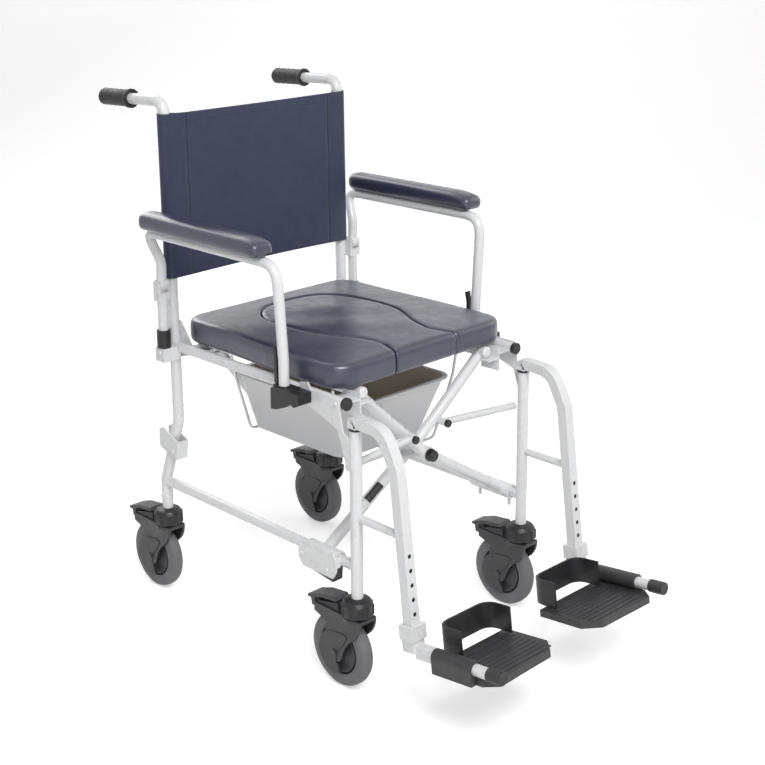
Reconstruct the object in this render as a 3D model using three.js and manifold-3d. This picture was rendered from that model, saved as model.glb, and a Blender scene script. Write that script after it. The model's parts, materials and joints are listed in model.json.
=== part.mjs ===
// A wheeled commode chair on a folding tube frame. Millimetres, +Z up. The chair faces -Y, the floor
// is z = 0, and x = 0 is its middle plane. The front uprights stand on the line y = 0.
import * as THREE from 'three';
import * as BufferGeometryUtils from 'three/addons/utils/BufferGeometryUtils.js';
import Module from 'manifold-3d';

const wasm = await Module();
wasm.setup();

// ---- driving dimensions -------------------------------------------------------------------------
const GAP = 0.3;                 // between pieces that touch
const RUN = 0.5;                 // running clearance of turning and sliding pieces
const WELD = 2;                  // how deep a welded sheet bites into a tube
const SHEET = 3;                 // steel sheet thickness

const FRAME_HALF_WIDTH = 205;    // middle plane to the uprights' axes
const TUBE_RADIUS = 10;          // uprights, push handles and braces
const RAIL_RADIUS = 9;           // side rails and armrest tubes

const REAR_Y = 466;              // rear upright, from the seat up
const REAR_FOOT_Y = 511;         // rear upright, above its castor
const BACK_RAKE = 6;             // how far the rear upright leans back by its top
const UPRIGHT_FOOT_Z = 168.3;    // lower end of every upright
const FRONT_TOP_Z = 456;         // top of the front uprights
const BEND_LOW_Z = 225;          // the rear upright's S-bend
const BEND_HIGH_Z = 352;
const HANDLE_Z = 932;            // push handle axis at the bend
const HANDLE_DROP = 6;           // the grip's end sits a little lower
const HANDLE_END_Y = 646;
const CLIP_FRONT_Y = 456;        // front of the clip at the rear upright's bend
const HANDLE_BEND = 24;          // bend radius into the handle
const GRIP_LENGTH = 86;
const GRIP_END = 5;              // closed end of a grip
const LOWER_RAIL_Z = 222;
const UPPER_RAIL_Z = 494;
const UPPER_RAIL_FRONT_Y = 24;

const WHEEL_RADIUS = 64;
const WHEEL_WIDTH = 25;
const CASTOR_TRAIL = 36;         // wheel axle behind the swivel axis

const PIVOT_Z = 348;             // centre pivot of the two braces
const SEAT_TUBE_X = 150.5;
const SEAT_TUBE_Z = 495;
const SEAT_TUBE_FRONT_Y = 44;
const SEAT_TUBE_REAR_Y = 452;
const ARM_A_Y = 78;              // brace arm that stands on the -X rail, at the centre pivot
const ARM_B_Y = 46;              // and the one that stands on the +X rail
const ARM_TOP_Y = SEAT_TUBE_FRONT_Y + TUBE_RADIUS + 1;   // where both arms meet their seat tubes
const ARM_BEND_X = 46;           // the arms bend toward the seat tubes past the pivot
const NECK_A_Y = 441;            // the braces' rear tubes, where they meet the centre pivot
const NECK_B_Y = NECK_A_Y - 2 * RAIL_RADIUS - 1;
const SLEEVE_RADIUS = 13.5;      // sleeve that turns on a lower rail

const SEAT_WIDTH = 400;
const SEAT_FRONT_Y = 38;
const SEAT_DEPTH = 417;
const SEAT_BASE_Z = SEAT_TUBE_Z + TUBE_RADIUS + GAP;
const SEAT_THICKNESS = 43;
const APERTURE_Y = 266;
const APERTURE_BACK_Y = 401;

const BACK_LOW_Z = 620;          // backrest sling
const BACK_HIGH_Z = HANDLE_Z - HANDLE_BEND - 1;
const SLING_THICKNESS = 2.5;

const ARM_TOP_X = FRAME_HALF_WIDTH + 38;    // armrest tube under its pad
const ARM_FOOT_X = FRAME_HALF_WIDTH + 27;   // and at its feet
const ARM_FRONT_Y = 138;
const ARM_REAR_Y = 463;
const ARM_PAD_LENGTH = 316;
const ARM_PAD_SETBACK = 20;      // pad's front end behind the front leg's axis
const ARM_PAD_WIDTH = 46;
const ARM_PAD_HEIGHT = 28;
const ARM_PAD_BASE_Z = 716;
const ARM_PIVOT_Z = 612;
const LEVER_PIVOT_Z = 508.3;

const HANGER_WIDTH = 20;         // square tube of the footrest hangers
const HANGER_DEPTH = 18;
const HANGER_LEAN = 7;           // degrees that its straight leg leans forward
const FOOT_ANCHOR = [-112, 255]; // y and z of a point on the straight leg's axis
const HOLE_PITCH = 23.7;
const FOOT_TUBE_DROP = 130;      // foot tube below that point, along the leg

const PAN_RIM_Z = 444;           // commode pan
const PAN_BASE_Z = 337;
const PAN_FRONT_Y = 103;
const PAN_LENGTH = 300;
const PAN_WIDTH = 252;
const PAN_WALL = 2.5;
const CRADLE_WIRE = 2.5;         // radius of the wire that carries the pan

// ---- materials ----------------------------------------------------------------------------------
function paint(color, roughness, metalness = 0) {
  return new THREE.MeshStandardMaterial({ color, roughness, metalness });
}
const WHITE = paint(0xe9e9ea, 0.35);
const BLACK = paint(0x1d1d20, 0.5);
const NAVY = paint(0x3a4258, 0.55);
const CASTOR_GREY = paint(0x37373b, 0.5);
const PAN_WHITE = paint(0xe3e2df, 0.4);
const STEEL = paint(0xb9babd, 0.3, 0.9);

// ---- solids -------------------------------------------------------------------------------------
function solid(geometry) {
  const bare = geometry.clone();
  bare.deleteAttribute('normal');
  bare.deleteAttribute('uv');
  const merged = BufferGeometryUtils.mergeVertices(bare, 1e-4);
  return new wasm.Manifold(new wasm.Mesh({
    numProp: 3,
    vertProperties: new Float32Array(merged.attributes.position.array),
    triVerts: new Uint32Array(merged.index.array),
  }));
}

function geometryOf(manifold) {
  const mesh = manifold.getMesh();
  const geometry = new THREE.BufferGeometry();
  geometry.setAttribute('position', new THREE.BufferAttribute(mesh.vertProperties, 3));
  geometry.setIndex(new THREE.BufferAttribute(mesh.triVerts, 1));
  geometry.computeVertexNormals();
  return geometry;
}

function join(geometries) {
  return geometryOf(geometries.map(solid).reduce((whole, piece) => whole.add(piece)));
}

function cut(geometry, cutters) {
  return geometryOf(cutters.map(solid).reduce((rest, cutter) => rest.subtract(cutter), solid(geometry)));
}

// A box from its low and high corners.
function box(x0, x1, y0, y1, z0, z1) {
  const geometry = new THREE.BoxGeometry(x1 - x0, y1 - y0, z1 - z0);
  return geometry.translate((x0 + x1) / 2, (y0 + y1) / 2, (z0 + z1) / 2);
}

// A straight round bar between two points.
function rod(from, to, radius, sides = 12) {
  const a = new THREE.Vector3(...from);
  const b = new THREE.Vector3(...to);
  const along = b.clone().sub(a);
  const geometry = new THREE.CylinderGeometry(radius, radius, along.length(), sides);
  const turn = new THREE.Quaternion().setFromUnitVectors(new THREE.Vector3(0, 1, 0), along.normalize());
  const middle = a.add(b).multiplyScalar(0.5);
  return geometry.applyQuaternion(turn).translate(middle.x, middle.y, middle.z);
}

// A path of straight stretches with rounded corners; a corner's own bend radius can stand after its
// x, y and z. The steps fall on the corners, so the straight stretches take no triangles of their own.
class BentPath extends THREE.Curve {
  constructor(corners, bendRadius, bendSteps = 5) {
    super();
    const points = corners.map(([x, y, z]) => new THREE.Vector3(x, y, z));
    this.points = [points[0]];
    for (let i = 1; i < points.length - 1; i += 1) {
      const radius = corners[i][3] ?? bendRadius;
      this.points.push(...roundedCorner(points[i - 1], points[i], points[i + 1], radius, bendSteps));
    }
    this.points.push(points[points.length - 1]);
  }

  get steps() {
    return this.points.length - 1;
  }

  getUtoTmapping(u) {
    return u;
  }

  getPoint(t, target = new THREE.Vector3()) {
    const place = THREE.MathUtils.clamp(t, 0, 1) * this.steps;
    const index = Math.min(Math.floor(place), this.steps - 1);
    return target.lerpVectors(this.points[index], this.points[index + 1], place - index);
  }
}

function roundedCorner(before, corner, after, radius, steps) {
  const back = before.clone().sub(corner);
  const ahead = after.clone().sub(corner);
  const half = back.angleTo(ahead) / 2;
  const reach = Math.min(radius / Math.tan(half), back.length() * 0.48, ahead.length() * 0.48);
  const start = corner.clone().addScaledVector(back.normalize(), reach);
  const end = corner.clone().addScaledVector(ahead.normalize(), reach);
  const arc = new THREE.QuadraticBezierCurve3(start, corner, end);
  return arc.getPoints(steps);
}

function circle(radius, sides) {
  const shape = new THREE.Shape();
  for (let i = 0; i < sides; i += 1) {
    const angle = (2 * Math.PI * i) / sides;
    const point = [radius * Math.cos(angle), radius * Math.sin(angle)];
    if (i === 0) shape.moveTo(...point);
    else shape.lineTo(...point);
  }
  return shape;
}

function rectangle(width, height) {
  const shape = new THREE.Shape();
  shape.moveTo(-width / 2, -height / 2);
  shape.lineTo(width / 2, -height / 2);
  shape.lineTo(width / 2, height / 2);
  shape.lineTo(-width / 2, height / 2);
  return shape;
}

function sweep(shape, path) {
  return new THREE.ExtrudeGeometry(shape, { steps: path.steps, extrudePath: path });
}

// A bent round tube, drawn as a closed bar.
function bentTube(corners, radius, bendRadius, sides = 12, bendSteps = 4) {
  return sweep(circle(radius, sides), new BentPath(corners, bendRadius, bendSteps));
}

function outline(points) {
  const shape = new THREE.Shape();
  points.forEach(([a, b], i) => (i === 0 ? shape.moveTo(a, b) : shape.lineTo(a, b)));
  return shape;
}

// A sheet parallel to the middle plane: outline points are [y, z], from x0 to x1.
function sheetX(points, x0, x1) {
  const geometry = new THREE.ExtrudeGeometry(outline(points), { depth: x1 - x0, bevelEnabled: false });
  const frame = new THREE.Matrix4().makeBasis(
    new THREE.Vector3(0, 1, 0), new THREE.Vector3(0, 0, 1), new THREE.Vector3(1, 0, 0));
  return geometry.applyMatrix4(frame).translate(x0, 0, 0);
}

// A flat solid with its outline seen from above, from z0 up by height.
function slab(shape, z0, height, bevel = 0, curveSegments = 5) {
  const geometry = new THREE.ExtrudeGeometry(shape, {
    depth: height - 2 * bevel, bevelEnabled: bevel > 0, bevelThickness: bevel, bevelSize: bevel,
    bevelOffset: -bevel, bevelSegments: 2, curveSegments,
  });
  return geometry.translate(0, 0, z0 + bevel);
}

function roundedRectangle(x0, x1, y0, y1, radius) {
  const shape = new THREE.Shape();
  shape.moveTo(x0 + radius, y0);
  shape.lineTo(x1 - radius, y0);
  shape.absarc(x1 - radius, y0 + radius, radius, -Math.PI / 2, 0, false);
  shape.lineTo(x1, y1 - radius);
  shape.absarc(x1 - radius, y1 - radius, radius, 0, Math.PI / 2, false);
  shape.lineTo(x0 + radius, y1);
  shape.absarc(x0 + radius, y1 - radius, radius, Math.PI / 2, Math.PI, false);
  shape.lineTo(x0, y0 + radius);
  shape.absarc(x0 + radius, y0 + radius, radius, Math.PI, 1.5 * Math.PI, false);
  return shape;
}

// A turned solid about its own Z axis, from [radius, height] points.
function turned(profile, sides = 16) {
  const geometry = new THREE.LatheGeometry(profile.map(([r, h]) => new THREE.Vector2(r, h)), sides);
  return geometry.rotateX(Math.PI / 2);
}

const chair = new THREE.Group();

function add(name, geometry, material, parent = chair) {
  const mesh = new THREE.Mesh(geometry, material);
  mesh.name = name;
  parent.add(mesh);
  return mesh;
}

// ---- side frames --------------------------------------------------------------------------------
// Points of a rear upright with its push handle, from the castor up.
function rearUprightCorners(x) {
  return [
    [x, REAR_FOOT_Y, UPRIGHT_FOOT_Z],
    [x, REAR_FOOT_Y, BEND_LOW_Z],
    [x, REAR_Y, BEND_HIGH_Z],
    [x, REAR_Y + BACK_RAKE, HANDLE_Z, HANDLE_BEND],
    [x, HANDLE_END_Y, HANDLE_Z - HANDLE_DROP],
  ];
}

// y of the rear upright's axis at a height in its straight back stretch.
function backY(z) {
  return REAR_Y + (BACK_RAKE * (z - BEND_HIGH_Z)) / (HANDLE_Z - BEND_HIGH_Z);
}

const SADDLE_X = SEAT_TUBE_X + TUBE_RADIUS + RUN + 6;
const SOCKET_FRONT_Y = 90;
const SOCKET_REAR_Y = 158;
const SOCKET_TOP_Z = 504;
const ARM_POST_TOP_Z = ARM_PIVOT_Z - 14;
const SLEEVE_FRONT_Y = 40;       // the sleeve on the -X rail
const SLEEVE_REAR_Y = 112;
const COVER_REAR_Y = SLEEVE_REAR_Y + 11;
const SLEEVE_B_FRONT_Y = 22;     // and on the +X rail
const SLEEVE_B_REAR_Y = 112;

// A seat-tube saddle: a sheet that hangs from the upper rail and turns in under the seat tube.
function saddle(side, y0, y1, lowZ, lipLength) {
  const x0 = side * SADDLE_X;
  const plate = box(Math.min(x0, x0 + side * SHEET), Math.max(x0, x0 + side * SHEET), y0, y1, lowZ, UPPER_RAIL_Z + 8);
  const reach = side * (FRAME_HALF_WIDTH - RAIL_RADIUS + WELD);
  const bridge = box(Math.min(x0, reach), Math.max(x0, reach), y0, y1, UPPER_RAIL_Z - 4, UPPER_RAIL_Z - 1);
  const lipTop = SEAT_TUBE_Z - TUBE_RADIUS - RUN;
  const lipEnd = side * (SEAT_TUBE_X - TUBE_RADIUS);
  const lip = box(Math.min(x0 + side, lipEnd), Math.max(x0 + side, lipEnd), y0, y0 + lipLength, lipTop - SHEET, lipTop);
  return [plate, bridge, lip];
}

function sideFrame(side) {
  const x = side * FRAME_HALF_WIDTH;
  const outer = x + side * (TUBE_RADIUS - WELD);
  const outerFar = outer + side * SHEET;
  const [sheetLow, sheetHigh] = [Math.min(outer, outerFar), Math.max(outer, outerFar)];
  const armX = side * ARM_FOOT_X;
  const pieces = [
    rod([x, 0, UPRIGHT_FOOT_Z], [x, 0, FRONT_TOP_Z], TUBE_RADIUS, 14),
    bentTube(rearUprightCorners(x), TUBE_RADIUS, 55, 14, 5),
    rod([x, 0, LOWER_RAIL_Z], [x, REAR_FOOT_Y, LOWER_RAIL_Z], RAIL_RADIUS),
    rod([x, UPPER_RAIL_FRONT_Y, UPPER_RAIL_Z], [x, REAR_Y, UPPER_RAIL_Z], RAIL_RADIUS),
    // front gusset: from the rail down to the upright, on the outer side
    sheetX([[-2, 392], [10, 392], [30, 452], [92, 474], [118, 500], [118, 511], [100, 514],
      [92, 503], [30, 503], [18, 448], [-2, 440]],
      sheetLow, sheetHigh),
    // rear gusset on the inner side
    sheetX([[REAR_Y + 4, 470], [REAR_Y + 4, 540], [REAR_Y - 6, 540], [REAR_Y - 36, 500], [REAR_Y - 40, 482]],
      x - side * (TUBE_RADIUS + SHEET - WELD) - (side > 0 ? 0 : SHEET),
      x - side * (TUBE_RADIUS + SHEET - WELD) + (side > 0 ? SHEET : 0)),
    ...saddle(side, 26, 66, 460, ARM_TOP_Y - TUBE_RADIUS - 28),
    ...saddle(side, 404, 446, 470, NECK_B_Y - RAIL_RADIUS - 405),
    // clip at the S-bend with its forward lug
    ...legClip(x),
    // foot of the armrest's rear post, and the post itself
    box(Math.min(x, armX + side * 10), Math.max(x, armX + side * 10), ARM_REAR_Y - 12, ARM_REAR_Y + 13, 472, 497),
    rod([armX, ARM_REAR_Y, 480], [armX, ARM_REAR_Y, ARM_POST_TOP_Z], RAIL_RADIUS),
    ...armYoke(side),
    // screws
    rod([armX + side * 6, ARM_REAR_Y, 488], [armX + side * 13, ARM_REAR_Y, 488], 3.5, 8),
    rod([outer, 34, 494], [outerFar + side * 3, 34, 494], 3.5, 8),
    rod([x, REAR_FOOT_Y, 196], [x + side * 13, REAR_FOOT_Y, 196], 3, 8),
    rod([x, CLIP_FRONT_Y + 14, 294], [x + side * 15, CLIP_FRONT_Y + 14, 294], 3.5, 8),
    // latch seat of the hanger's strut
    rod([x, 0, 308], [x, -TUBE_RADIUS - 1, 308], 5, 10),
  ];
  return join(pieces);
}

// Sheet clip round the rear upright at its S-bend: two cheeks joined across the front.
function legClip(x) {
  const cheek = [[CLIP_FRONT_Y, 313], [CLIP_FRONT_Y + 4, 279], [REAR_FOOT_Y, 293], [REAR_FOOT_Y, 327],
    [REAR_FOOT_Y - 11, 332]];
  const half = TUBE_RADIUS - 1;
  return [
    sheetX(cheek, x - half - SHEET, x - half),
    sheetX(cheek, x + half, x + half + SHEET),
    sheetX([[CLIP_FRONT_Y, 313], [CLIP_FRONT_Y + 4, 279], [CLIP_FRONT_Y + 7, 279], [CLIP_FRONT_Y + 3, 313]],
      x - half - 1, x + half + 1),
  ];
}

// Two cheeks on top of the armrest's rear post that hold its knuckle.
function armYoke(side) {
  const armX = side * ARM_FOOT_X;
  const cheek = [[ARM_REAR_Y - 8, ARM_POST_TOP_Z - 14], [ARM_REAR_Y + 8, ARM_POST_TOP_Z - 14],
    [ARM_REAR_Y + 8, ARM_PIVOT_Z + 7], [ARM_REAR_Y - 8, ARM_PIVOT_Z + 7]];
  const inner = RAIL_RADIUS + GAP;
  const foot = ARM_POST_TOP_Z - 14;
  return [
    sheetX(cheek, armX - inner - SHEET, armX - inner),
    sheetX(cheek, armX + inner, armX + inner + SHEET),
    box(armX - inner - 1, armX + inner + 1, ARM_REAR_Y - 8, ARM_REAR_Y + 8, foot, ARM_POST_TOP_Z),
  ];
}

// Sheet cover outside the sleeve on the -X lower rail, with its end tabs.
function railCover(x) {
  const face = x - SLEEVE_RADIUS - RUN;
  const edge = [[SLEEVE_FRONT_Y - 8, 206], [SLEEVE_FRONT_Y - 8, 226], [SLEEVE_FRONT_Y, 237],
    [COVER_REAR_Y - 4, 237], [COVER_REAR_Y, 228], [COVER_REAR_Y, 206], [COVER_REAR_Y - 10, 192],
    [SLEEVE_FRONT_Y, 192]];
  const tab = (y) => box(face - 1, x - RAIL_RADIUS + WELD, y, y + 6, 212, 230);
  return [
    sheetX(edge, face - SHEET, face),
    tab(SLEEVE_FRONT_Y - 8),
    tab(COVER_REAR_Y - 7),
    rod([face, SLEEVE_FRONT_Y + 14, 204], [face - SHEET - 3, SLEEVE_FRONT_Y + 14, 204], 3.5, 8),
    rod([face, COVER_REAR_Y - 8, 214], [face - SHEET - 3, COVER_REAR_Y - 8, 214], 3.5, 8),
  ];
}

// Moulded grip on a push handle: a blind sleeve with finger grooves and a flange, along local Z.
function gripGeometry() {
  const bore = TUBE_RADIUS + GAP;
  const length = GRIP_LENGTH;
  const profile = [[bore, 0], [17.5, 0], [17.5, 4], [15, 5]];
  for (let i = 0; i < 5; i += 1) {
    profile.push([14, 11 + 14.5 * i], [15.6, 18 + 14.5 * i]);
  }
  profile.push([15.4, length - 5], [12, length], [0, length], [0, length - GRIP_END], [bore, length - GRIP_END], [bore, 0]);
  return turned(profile, 14);
}

// The push handle's straight end, as a place for the grip.
function placeGrip(mesh, side) {
  const start = new THREE.Vector3(side * FRAME_HALF_WIDTH, REAR_Y + BACK_RAKE, HANDLE_Z);
  const end = new THREE.Vector3(side * FRAME_HALF_WIDTH, HANDLE_END_Y, HANDLE_Z - HANDLE_DROP);
  const along = end.clone().sub(start).normalize();
  mesh.quaternion.setFromUnitVectors(new THREE.Vector3(0, 0, 1), along);
  mesh.position.copy(end.addScaledVector(along, -(GRIP_LENGTH - GRIP_END - GAP)));
}

// Moulded socket under the armrest's front leg, clipped outside the upper rail.
function armSocket(side) {
  const x0 = side * (FRAME_HALF_WIDTH + TUBE_RADIUS - WELD + SHEET + GAP);
  const x1 = side * (ARM_FOOT_X + 13);
  const [low, high] = [Math.min(x0, x1), Math.max(x0, x1)];
  const top = SOCKET_TOP_Z;
  const block = sheetX([[SOCKET_FRONT_Y, top - 3], [SOCKET_FRONT_Y, top - 21], [SOCKET_FRONT_Y + 12, top - 27],
    [SOCKET_FRONT_Y + 20, top - 23], [SOCKET_FRONT_Y + 32, top - 31], [SOCKET_REAR_Y - 14, top - 40],
    [SOCKET_REAR_Y, top - 42], [SOCKET_REAR_Y, top - 6], [SOCKET_REAR_Y - 8, top - 2], [SOCKET_FRONT_Y + 30, top - 2]],
  low, high);
  const cup = rod([side * ARM_FOOT_X, ARM_FRONT_Y, top - 6], [side * ARM_FOOT_X, ARM_FRONT_Y, top], RAIL_RADIUS + 2);
  const lug = box(side * ARM_FOOT_X - 7, side * ARM_FOOT_X + 7, SOCKET_REAR_Y - 13, SOCKET_REAR_Y, top - 12, top - 1);
  return join([block, cup, lug]);
}

function ringBand(x, y, z0, z1, inner, outer) {
  const band = turned([[inner, 0], [outer, 0], [outer, z1 - z0], [inner, z1 - z0], [inner, 0]], 18);
  return band.translate(x, y, z0);
}

for (const side of [-1, 1]) {
  const name = side < 0 ? 'left' : 'right';
  const x = side * FRAME_HALF_WIDTH;
  const frame = side < 0 ? join([sideFrame(side), ...railCover(x)]) : sideFrame(side);
  add(`frame_${name}`, frame, WHITE);
  placeGrip(add(`grip_${name}`, gripGeometry(), BLACK), side);
  const cap = rod([x, UPPER_RAIL_FRONT_Y - 8, UPPER_RAIL_Z], [x, UPPER_RAIL_FRONT_Y - GAP, UPPER_RAIL_Z],
    RAIL_RADIUS + 1.5);
  add(`rail_cap_${name}`, cap, BLACK);
  add(`pivot_ring_${name}`, rod([x, 0, FRONT_TOP_Z + GAP], [x, 0, FRONT_TOP_Z + 4], TUBE_RADIUS + 1.5, 18), BLACK);
  add(`arm_socket_${name}`, armSocket(side), BLACK);
  add(`arm_sleeve_${name}`, ringBand(side * ARM_FOOT_X, ARM_REAR_Y, 497 + GAP, 530, RAIL_RADIUS + GAP, 12.5), BLACK);
}

// Bearing block clipped under the cover of the -X rail's sleeve.
add('bearing_block', sheetX([[SLEEVE_FRONT_Y + 4, 183], [SLEEVE_REAR_Y - 6, 190], [SLEEVE_REAR_Y - 2,
  LOWER_RAIL_Z - SLEEVE_RADIUS - RUN], [SLEEVE_FRONT_Y + 2, LOWER_RAIL_Z - SLEEVE_RADIUS - RUN]],
-FRAME_HALF_WIDTH - 13, -FRAME_HALF_WIDTH + 9), BLACK);

// ---- castors ------------------------------------------------------------------------------------
const HEAD_BASE_Z = 137;
const CROWN_TOP_Z = HEAD_BASE_Z - RUN;
const WHEEL_TOP_Z = 2 * WHEEL_RADIUS;
const COVER_INNER = WHEEL_WIDTH / 2 + 1.5;
const COVER_OUTER = COVER_INNER + 5;

// Round ribbed head round the upright's lower end.
function castorHead() {
  const height = UPRIGHT_FOOT_Z - GAP - HEAD_BASE_Z;
  const body = turned([[0, 0], [24, 0], [26, 3], [26, height - 9], [22, height - 3], [15, height], [0, height]], 20);
  const ribs = [];
  for (let i = 0; i < 10; i += 1) {
    const angle = (2 * Math.PI * (i + 0.5)) / 10;
    const [cx, cy] = [26 * Math.cos(angle), 26 * Math.sin(angle)];
    ribs.push(rod([cx, cy, 4], [cx, cy, height - 10], 2.6, 4));
  }
  return join([body, ...ribs]);
}

// Fork with its two curved side covers and the brake housing behind the head, about the swivel axis.
function castorFork() {
  const cover = (x0, x1) => {
    const shape = new THREE.Shape();
    shape.moveTo(-24, CROWN_TOP_Z);
    shape.quadraticCurveTo(-26, 112, -4, 96);
    shape.quadraticCurveTo(12, 84, CASTOR_TRAIL - 17, 60);
    shape.absarc(CASTOR_TRAIL, WHEEL_RADIUS, 18, Math.PI * 1.1, Math.PI * 2.25, false);
    shape.quadraticCurveTo(64, 96, 54, 112);
    shape.lineTo(84, 122);
    shape.lineTo(84, CROWN_TOP_Z);
    const geometry = new THREE.ExtrudeGeometry(shape, { depth: x1 - x0, bevelEnabled: false, curveSegments: 5 });
    const frame = new THREE.Matrix4().makeBasis(
      new THREE.Vector3(0, 1, 0), new THREE.Vector3(0, 0, 1), new THREE.Vector3(1, 0, 0));
    return geometry.applyMatrix4(frame).translate(x0, 0, 0);
  };
  const crown = box(-COVER_OUTER, COVER_OUTER, -24, 84, WHEEL_TOP_Z + 2, CROWN_TOP_Z);
  const turntable = rod([0, 0, WHEEL_TOP_Z + 3], [0, 0, CROWN_TOP_Z], 25, 20);
  const housing = sheetX([[30, CROWN_TOP_Z - 1], [84, CROWN_TOP_Z - 1], [80, 139], [34, 150]], -14, 14);
  return join([
    crown, turntable, housing,
    cover(-COVER_OUTER, -COVER_INNER), cover(COVER_INNER, COVER_OUTER),
  ]);
}

function castorWheel() {
  const half = WHEEL_WIDTH / 2;
  const r = WHEEL_RADIUS;
  const wheel = turned([[0, -half + 3], [38, -half + 3], [44, -half], [r - 6, -half], [r - 1.5, -half + 4], [r, 0],
    [r - 1.5, half - 4], [r - 6, half], [44, half], [38, half - 3], [0, half - 3]], 24);
  return wheel.rotateY(Math.PI / 2);
}

// Foot pedal behind the head, turning about a pin in the brake housing.
function castorPedal() {
  const blade = sheetX([[34, 153], [40, 158], [74, 154], [103, 144], [105, 139], [96, 139], [72, 148], [38, 152]],
    -16, 16);
  const web = sheetX([[89, 144], [101, 140], [98, 124], [90, 124]], -12, 12);
  return join([blade, web]);
}

const CASTORS = [
  ['front_left', -FRAME_HALF_WIDTH, 0],
  ['front_right', FRAME_HALF_WIDTH, 0],
  ['rear_left', -FRAME_HALF_WIDTH, REAR_FOOT_Y],
  ['rear_right', FRAME_HALF_WIDTH, REAR_FOOT_Y],
];
for (const [name, x, y] of CASTORS) {
  const castor = new THREE.Group();
  castor.position.set(x, y, 0);
  chair.add(castor);
  add(`castor_head_${name}`, castorHead(), BLACK, castor).position.z = HEAD_BASE_Z;
  add(`castor_fork_${name}`, castorFork(), CASTOR_GREY, castor);
  add(`castor_wheel_${name}`, castorWheel(), CASTOR_GREY, castor).position.set(0, CASTOR_TRAIL, WHEEL_RADIUS);
  add(`castor_pedal_${name}`, castorPedal(), CASTOR_GREY, castor);
}

// ---- folding braces -----------------------------------------------------------------------------
// One half of the scissor: a sleeve on its lower rail, a front arm over the centre pivot to the seat
// tube on the other side, the seat tube, and a swan-necked rear tube back to the centre pivot.
function brace(side, armY, rearY, sleeveY0, sleeveY1, extras) {
  const railX = side * FRAME_HALF_WIDTH;
  const seatX = -side * SEAT_TUBE_X;
  const bendX = -side * ARM_BEND_X;
  const arm = bentTube([[railX, armY, LOWER_RAIL_Z], [0, armY, PIVOT_Z], [bendX, (armY + ARM_TOP_Y) / 2, PIVOT_Z + 46],
    [seatX, ARM_TOP_Y, SEAT_TUBE_Z - 4]], TUBE_RADIUS, 90, 12, 3);
  const sleeve = rod([railX, sleeveY0, LOWER_RAIL_Z], [railX, sleeveY1, LOWER_RAIL_Z], SLEEVE_RADIUS, 16);
  const seatTube = rod([seatX, SEAT_TUBE_FRONT_Y, SEAT_TUBE_Z], [seatX, SEAT_TUBE_REAR_Y, SEAT_TUBE_Z], TUBE_RADIUS);
  const neckX = -side * 62;
  const neck = bentTube([[seatX, rearY, SEAT_TUBE_Z], [neckX, rearY, PIVOT_Z + 24], [side * 14, rearY, PIVOT_Z]],
    RAIL_RADIUS, 30, 12, 4);
  const hub = rod([0, armY - 12, PIVOT_Z], [0, armY + 12, PIVOT_Z], 13, 16);
  const bore = rod([railX, sleeveY0 - 5, LOWER_RAIL_Z], [railX, sleeveY1 + 5, LOWER_RAIL_Z], RAIL_RADIUS + RUN, 14);
  return cut(join([arm, sleeve, seatTube, neck, hub, ...extras]), [bore]);
}

const rearBolt = rod([0, NECK_A_Y, PIVOT_Z], [0, NECK_A_Y + RAIL_RADIUS + 6, PIVOT_Z], 6.5, 6);
const sleeveScrews = [SLEEVE_B_FRONT_Y + 6, SLEEVE_B_REAR_Y - 14].map((y) => (
  rod([FRAME_HALF_WIDTH, y, LOWER_RAIL_Z - SLEEVE_RADIUS + WELD],
    [FRAME_HALF_WIDTH, y, LOWER_RAIL_Z - SLEEVE_RADIUS - 13], 3, 8)));
add('brace_a', brace(-1, ARM_A_Y, NECK_A_Y, SLEEVE_FRONT_Y, SLEEVE_REAR_Y, [rearBolt]), WHITE);
add('brace_b', brace(1, ARM_B_Y, NECK_B_Y, SLEEVE_B_FRONT_Y, SLEEVE_B_REAR_Y, sleeveScrews), WHITE);
for (const [name, side] of [['a', 1], ['b', -1]]) {
  const cap = turned([[0, 0], [10, 0], [10, 5], [8, 7.5], [0, 8]], 16);
  cap.rotateX(Math.PI / 2).translate(side * SEAT_TUBE_X, SEAT_TUBE_FRONT_Y - GAP, SEAT_TUBE_Z);
  add(`seat_tube_cap_${name}`, cap, WHITE);
}
// Cap on the front end of the centre pivot.
const knob = turned([[0, 0], [11, 0], [11.5, 3], [10, 12], [7.5, 14], [0, 14]], 12);
knob.rotateX(Math.PI / 2).translate(0, ARM_B_Y - 12 - GAP, PIVOT_Z);
add('pivot_knob', knob, BLACK);

// Stabiliser links from the front uprights to just before the braces' arms, with a cap on the inner end.
const LINK_Z = 388;
const LINK_INNER_X = 48;
for (const side of [-1, 1]) {
  const name = side < 0 ? 'left' : 'right';
  const armFace = ((side < 0 ? ARM_B_Y : ARM_A_Y) + ARM_TOP_Y) / 2 - TUBE_RADIUS - 2;
  const innerX = side * LINK_INNER_X;
  const y = armFace - 8;
  const bar = rod([innerX, y, LINK_Z + 3], [side * (FRAME_HALF_WIDTH - 1), 19, LINK_Z], 6.5, 10);
  const pin = rod([innerX, y - 8, LINK_Z + 3], [innerX, armFace, LINK_Z + 3], 6, 10);
  add(`link_${name}`, join([bar, pin]), WHITE);
  add(`link_cap_${name}`, rod([innerX, y - 14, LINK_Z + 3], [innerX, y - 8 - GAP, LINK_Z + 3], 7, 12), BLACK);
}

// ---- seat, pan and backrest ---------------------------------------------------------------------
// Half of the seat opening's outline, from the front to the middle of the back: a round opening that
// narrows to a neck and flares at the front edge.
const OPENING = [[65, 64], [59, 84], [61, 108], [68, 134], [79, 157], [91, 180], [103, 212], [109, 262],
  [108, 305], [99, 345], [76, 378], [41, 396]];

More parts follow.
